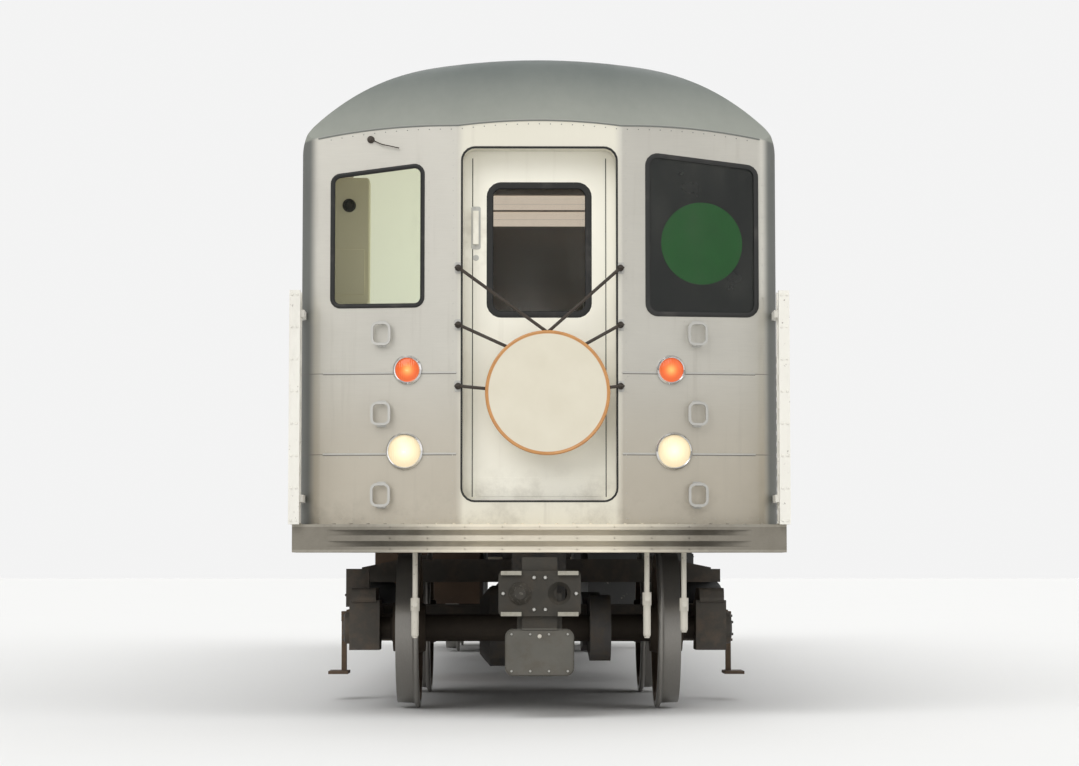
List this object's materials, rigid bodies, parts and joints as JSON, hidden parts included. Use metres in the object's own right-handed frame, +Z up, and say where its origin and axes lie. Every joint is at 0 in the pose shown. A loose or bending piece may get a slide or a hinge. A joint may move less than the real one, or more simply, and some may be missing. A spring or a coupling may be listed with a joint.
{
  "type": "metro car",
  "caption": "Stainless metro car on two bogies, with ribbed nose bars, folded gates, sliding doors, lamps, a route disc and a round headboard.",
  "frame": {"origin": "middle of the car at the bottom of the wheel flanges", "axes": "+X to the car's left side, +Y to its rear, +Z up; the front with the headboard is at -Y"},
  "size_m": [2.694, 15.646, 3.6508],
  "materials": {
    "mask_panel": "satin warm grey",
    "stainless": "brushed along the car",
    "nose_metal": "worn bright along the ribs",
    "frame_steel": "dusty black paint",
    "roof_paint": "matte blue-grey, weathered",
    "end_door_paint": "satin cream-white",
    "clear_glass": "clear safety glass",
    "sign_black": "dark display",
    "route_green": "lit green disc, blank",
    "chrome_trim": "polished",
    "head_lens": "fluted warm white lens",
    "tail_lens": "orange-red lens",
    "step_steel": "worn",
    "board_enamel": "cream enamel with an orange-brown edge, blank",
    "strap_rubber": "dark sleeve over chain",
    "gate_paint": "cream-white gloss",
    "pipe_paint": "chalky off-white, dusty",
    "ceiling_panel": "off-white laminate",
    "diffuser": "lit diffuser",
    "floor_rubber": "speckled black",
    "seat_plastic": "moulded orange",
    "pole_steel": "satin",
    "console_paint": "grey hammer finish",
    "case_paint": "dusty dark grey",
    "grid_metal": "heat-browned",
    "bogie_steel": "dusty black casting",
    "spring_rubber": "matt",
    "motor_paint": "oily dark grey",
    "shoe_wood": "dark hardwood beam",
    "wheel_steel": "rolled steel, bright treads",
    "coupler_iron": "worn casting"
  },
  "bodies": {
    "car_body": {"end_mask_front": "mask_panel", "end_mask_rear": "mask_panel", "side_wall_left": "stainless", "side_wall_right": "stainless", "fluted_panels": "stainless", "anticlimbers": "nose_metal", "underframe": "frame_steel", "roof": "roof_paint", "side_glass": "clear_glass", "end_glass": "clear_glass", "sign_boxes": "sign_black", "route_discs": "route_green", "lamp_bezels": "chrome_trim", "headlamp_lenses": "head_lens", "tail_lamp_lenses": "tail_lens", "step_loops": "step_steel", "headboard": "board_enamel", "safety_chains": "strap_rubber", "pantograph_gates": "gate_paint", "end_pipes": "pipe_paint", "ceiling": "ceiling_panel", "cab_partitions": "ceiling_panel", "light_strips": "diffuser", "floor_covering": "floor_rubber", "bench_seats": "seat_plastic", "grab_poles": "pole_steel", "cab_consoles": "console_paint", "equipment_cases": "case_paint", "air_equipment": "case_paint", "resistor_grids": "grid_metal"},
    "bogie_front": {"bogie_frame_front": "bogie_steel", "bogie_springs_front": "spring_rubber", "traction_motors_front": "motor_paint", "shoe_gear_front": "shoe_wood"},
    "bogie_rear": {"bogie_frame_rear": "bogie_steel", "bogie_springs_rear": "spring_rubber", "traction_motors_rear": "motor_paint", "shoe_gear_rear": "shoe_wood"},
    "axle_1": {"wheelset_1": "wheel_steel"},
    "axle_2": {"wheelset_2": "wheel_steel"},
    "axle_3": {"wheelset_3": "wheel_steel"},
    "axle_4": {"wheelset_4": "wheel_steel"},
    "end_door_front": {"end_door_front": "end_door_paint", "end_door_glass_front": "clear_glass"},
    "end_door_rear": {"end_door_rear": "end_door_paint", "end_door_glass_rear": "clear_glass"},
    "cab_door_front": {"cab_door_front": "ceiling_panel"},
    "cab_door_rear": {"cab_door_rear": "ceiling_panel"},
    "doors_right_forward": {"door_leaves_right_forward": "stainless", "door_glass_right_forward": "clear_glass"},
    "doors_right_back": {"door_leaves_right_back": "stainless", "door_glass_right_back": "clear_glass"},
    "doors_left_forward": {"door_leaves_left_forward": "stainless", "door_glass_left_forward": "clear_glass"},
    "doors_left_back": {"door_leaves_left_back": "stainless", "door_glass_left_back": "clear_glass"},
    "coupler_front": {"coupler_front": "coupler_iron"},
    "coupler_rear": {"coupler_rear": "coupler_iron"}
  },
  "joints": [
    {"name": "bogie_front_yaw", "type": "hinge", "parent": "car_body", "child": "bogie_front", "pos_m": [0, -5.4865, 0.93], "axis": [0, 0, 1], "range_deg": [-7, 7]},
    {"name": "bogie_rear_yaw", "type": "hinge", "parent": "car_body", "child": "bogie_rear", "pos_m": [0, 5.4865, 0.93], "axis": [0, 0, 1], "range_deg": [-7, 7]},
    {"name": "axle_1_spin", "type": "hinge", "parent": "bogie_front", "child": "axle_1", "pos_m": [0, -6.528, 0.46], "axis": [1, 0, 0], "continuous": true},
    {"name": "axle_2_spin", "type": "hinge", "parent": "bogie_front", "child": "axle_2", "pos_m": [0, -4.445, 0.46], "axis": [1, 0, 0], "continuous": true},
    {"name": "axle_3_spin", "type": "hinge", "parent": "bogie_rear", "child": "axle_3", "pos_m": [0, 4.445, 0.46], "axis": [1, 0, 0], "continuous": true},
    {"name": "axle_4_spin", "type": "hinge", "parent": "bogie_rear", "child": "axle_4", "pos_m": [0, 6.528, 0.46], "axis": [1, 0, 0], "continuous": true},
    {"name": "end_door_front_slide", "type": "slide", "parent": "car_body", "child": "end_door_front", "axis": [1, 0, 0], "range_m": [0, 0.72]},
    {"name": "cab_door_front_swing", "type": "hinge", "parent": "car_body", "child": "cab_door_front", "pos_m": [-0.437, -6.485, 1.165], "axis": [0, 0, 1], "range_deg": [0, 90]},
    {"name": "coupler_front_swing", "type": "hinge", "parent": "car_body", "child": "coupler_front", "pos_m": [0, -7.13, 0.668], "axis": [0, 0, 1], "range_deg": [-10, 10]},
    {"name": "end_door_rear_slide", "type": "slide", "parent": "car_body", "child": "end_door_rear", "axis": [-1, 0, 0], "range_m": [0, 0.72]},
    {"name": "cab_door_rear_swing", "type": "hinge", "parent": "car_body", "child": "cab_door_rear", "pos_m": [0.437, 6.485, 1.165], "axis": [0, 0, 1], "range_deg": [0, 90]},
    {"name": "coupler_rear_swing", "type": "hinge", "parent": "car_body", "child": "coupler_rear", "pos_m": [0, 7.13, 0.668], "axis": [0, 0, 1], "range_deg": [-10, 10]},
    {"name": "doors_right_forward_slide", "type": "slide", "parent": "car_body", "child": "doors_right_forward", "axis": [0, -1, 0], "range_m": [0, 0.62]},
    {"name": "doors_right_back_slide", "type": "slide", "parent": "car_body", "child": "doors_right_back", "axis": [0, 1, 0], "range_m": [0, 0.62]},
    {"name": "doors_left_forward_slide", "type": "slide", "parent": "car_body", "child": "doors_left_forward", "axis": [0, -1, 0], "range_m": [0, 0.62]},
    {"name": "doors_left_back_slide", "type": "slide", "parent": "car_body", "child": "doors_left_back", "axis": [0, 1, 0], "range_m": [0, 0.62]}
  ],
  "couplings": [
    {"joint": "doors_right_back_slide", "follows": "doors_right_forward_slide", "ratio": 1},
    {"joint": "doors_left_back_slide", "follows": "doors_left_forward_slide", "ratio": 1}
  ]
}
